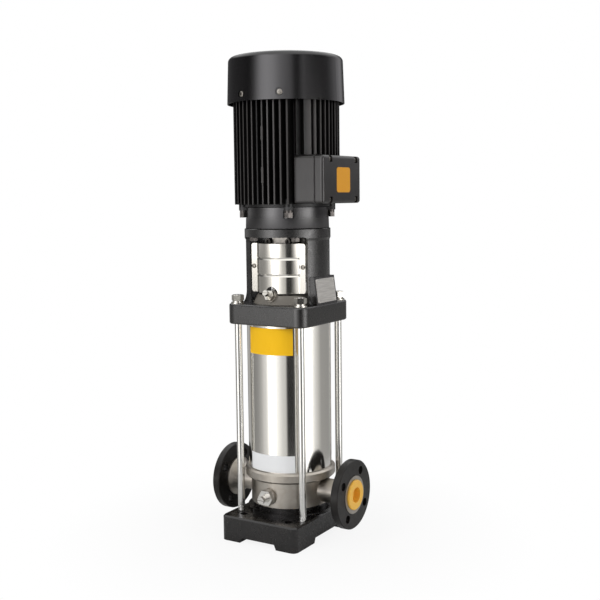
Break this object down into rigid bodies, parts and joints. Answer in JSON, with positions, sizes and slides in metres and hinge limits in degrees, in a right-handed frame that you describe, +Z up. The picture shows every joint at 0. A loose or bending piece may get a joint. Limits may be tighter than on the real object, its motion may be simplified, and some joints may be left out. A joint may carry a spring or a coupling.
{
  "type": "vertical multistage pump",
  "caption": "Vertical multistage centrifugal pump with in-line flanged ports, a polished sleeve between tie rods, a guarded coupling and a fan-cooled motor on top.",
  "frame": {"origin": "middle of the base plate's footprint, on the floor", "axes": "+Z up the pump shaft, +X along the ports towards the outlet and the terminal box, -Y towards the drain plug and the vent plug"},
  "size_m": [0.257, 0.208, 0.7967],
  "materials": {
    "cast_black": "black coated casting",
    "casing_steel": "satin stainless, bead blasted",
    "polished_steel": "polished stainless sheet",
    "bright_steel": "plain bright steel",
    "sealing_washer": "soft metal sealing washer",
    "cap_plastic": "yellow transport cap",
    "yellow_label": "bare yellow sticker",
    "white_label": "bare white sticker",
    "plate_metal": "bare rating plate",
    "cover_iron": "grey coated casting",
    "seal_carbide": "silicon carbide, ceramic",
    "gasket_rubber": "black rubber",
    "coupling_iron": "bare grey casting",
    "motor_paint": "black paint, semi-gloss",
    "lamination_steel": "stacked electrical sheet",
    "copper_winding": "varnished copper wire",
    "black_plastic": "black moulded plastic"
  },
  "bodies": {
    "stand": {"base_plate": "cast_black", "casing": "casing_steel", "drain_plug": "bright_steel", "drain_washer": "sealing_washer", "outer_sleeve": "polished_steel", "sleeve_gaskets": "gasket_rubber", "upper_label": "yellow_label", "lower_label": "white_label", "tie_rods": "bright_steel", "tie_rod_nuts": "bright_steel", "tie_rod_washers": "bright_steel", "tie_rod_lock_washers": "bright_steel", "motor_stool": "cast_black", "nameplate": "plate_metal", "head_cover": "cover_iron", "vent_plug": "bright_steel", "vent_washer": "sealing_washer", "seal_seat": "seal_carbide", "coupling_guard_front": "polished_steel", "coupling_guard_rear": "polished_steel", "guard_screws": "bright_steel", "stage_chambers": "bright_steel", "suction_spider": "bright_steel", "lower_bush": "seal_carbide", "stack_top_ring": "bright_steel", "stack_straps": "bright_steel", "motor_bolts": "bright_steel", "drive_end_shield": "motor_paint", "bell_bolts": "bright_steel", "motor_frame": "motor_paint", "stator_core": "lamination_steel", "stator_windings": "copper_winding", "bearing_outer_rings": "bright_steel", "fan_end_shield": "motor_paint", "fan_cowl": "motor_paint", "cowl_screws": "bright_steel", "terminal_box": "motor_paint", "box_gasket": "gasket_rubber", "terminal_cover": "motor_paint", "terminal_cover_screws": "bright_steel", "terminal_board": "black_plastic", "cable_gland": "black_plastic"},
    "rotor": {"pump_shaft": "bright_steel", "impellers": "bright_steel", "impeller_spacers": "bright_steel", "seal_head": "bright_steel", "coupling_half_front": "coupling_iron", "coupling_half_rear": "coupling_iron", "coupling_bolts": "bright_steel", "coupling_pin": "bright_steel", "rotor_core": "lamination_steel", "motor_shaft": "bright_steel", "bearing_inner_rings": "bright_steel", "fan": "black_plastic"},
    "inlet_flange": {"inlet_flange": "cast_black"},
    "outlet_flange": {"outlet_flange": "cast_black"},
    "inlet_cap": {"inlet_cap": "cap_plastic"},
    "outlet_cap": {"outlet_cap": "cap_plastic"},
    "vent_screw": {"vent_screw": "bright_steel"},
    "drain_screw": {"drain_screw": "bright_steel"}
  },
  "joints": [
    {"name": "rotor_spin", "type": "hinge", "parent": "stand", "child": "rotor", "pos_m": [0, 0, 0.45], "axis": [0, 0, 1], "continuous": true},
    {"name": "inlet_flange_swivel", "type": "hinge", "parent": "stand", "child": "inlet_flange", "pos_m": [-0.1242, 0, 0.0785], "axis": [-1, 0, 0], "continuous": true},
    {"name": "outlet_flange_swivel", "type": "hinge", "parent": "stand", "child": "outlet_flange", "pos_m": [0.1242, 0, 0.0785], "axis": [1, 0, 0], "continuous": true},
    {"name": "inlet_cap_pull", "type": "slide", "parent": "stand", "child": "inlet_cap", "axis": [-1, 0, 0], "range_m": [0, 0.03]},
    {"name": "outlet_cap_pull", "type": "slide", "parent": "stand", "child": "outlet_cap", "axis": [1, 0, 0], "range_m": [0, 0.03]},
    {"name": "vent_screw_turn", "type": "hinge", "parent": "stand", "child": "vent_screw", "pos_m": [0, -0.05199, 0.4066], "axis": [0, -0.9135, 0.4067], "range_deg": [0, 540]},
    {"name": "drain_screw_turn", "type": "hinge", "parent": "stand", "child": "drain_screw", "pos_m": [0, -0.085, 0.0745], "axis": [0, -1, 0], "range_deg": [0, 720]}
  ]
}
